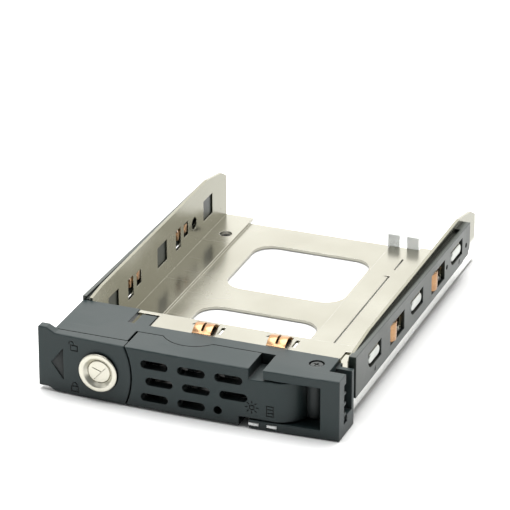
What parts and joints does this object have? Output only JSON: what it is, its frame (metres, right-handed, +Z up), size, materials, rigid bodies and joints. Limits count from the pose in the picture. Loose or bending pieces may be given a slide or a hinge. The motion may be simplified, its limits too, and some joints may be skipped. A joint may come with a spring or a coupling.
{
  "type": "hot-swap drive carrier",
  "caption": "Hot-swap carrier for a 2.5-inch hard disk drive: metal tray on plastic rails, vented handle lever, sliding release plate, key lock, contact springs and light pipes.",
  "frame": {"origin": "bottom centre of the bounding box", "axes": "+X to the right seen from the front, +Y from the bezel back along the tray, +Z up from the surface it lies on"},
  "size_m": [0.0804, 0.114, 0.0177],
  "materials": {
    "nickel_steel": "bright nickel-plated sheet",
    "bezel_plastic": "fine-textured dark slate plastic",
    "lever_plastic": "fine-textured dark slate plastic",
    "slide_plastic": "fine-textured dark slate plastic",
    "rail_plastic": "smooth dark plastic",
    "black_steel": "blackened steel",
    "washer_nylon": "natural nylon",
    "spring_wire": "spring steel",
    "lock_nickel": "satin nickel",
    "rivet_steel": "zinc-plated steel",
    "contact_bronze": "bright copper alloy",
    "clear_acrylic": "clear moulded acrylic"
  },
  "bodies": {
    "carrier": {"tray": "nickel_steel", "front_shield": "nickel_steel", "bezel": "bezel_plastic", "pivot_screw": "black_steel", "pivot_washer": "washer_nylon", "release_spring": "spring_wire", "rail_right": "rail_plastic", "rail_left": "rail_plastic", "rail_rivets": "black_steel", "bezel_screws": "rivet_steel", "side_spring_right_front": "contact_bronze", "side_spring_left_front": "contact_bronze", "side_spring_right_rear": "contact_bronze", "side_spring_left_rear": "contact_bronze", "shield_spring_left": "contact_bronze", "shield_spring_right": "contact_bronze", "light_pipe_power": "clear_acrylic", "light_pipe_activity": "clear_acrylic"},
    "handle": {"handle_lever": "lever_plastic"},
    "release": {"release_slide": "slide_plastic", "lock_housing": "lock_nickel", "lock_clip": "spring_wire"},
    "lock": {"lock_core": "lock_nickel", "lock_cam": "lock_nickel"}
  },
  "joints": [
    {"name": "handle_swing", "type": "hinge", "parent": "carrier", "child": "handle", "pos_m": [0.03103, -0.0479, 0.008], "axis": [0, 0, 1], "range_deg": [0, 55]},
    {"name": "release_slide", "type": "slide", "parent": "carrier", "child": "release", "axis": [-1, 0, 0], "range_m": [0, 0.0025], "stiffness_N_per_m": 300, "deforming": ["release_spring"]},
    {"name": "lock_turn", "type": "hinge", "parent": "release", "child": "lock", "pos_m": [-0.02337, -0.0504, 0.0079], "axis": [0, 1, 0], "range_deg": [-90, 0]}
  ]
}
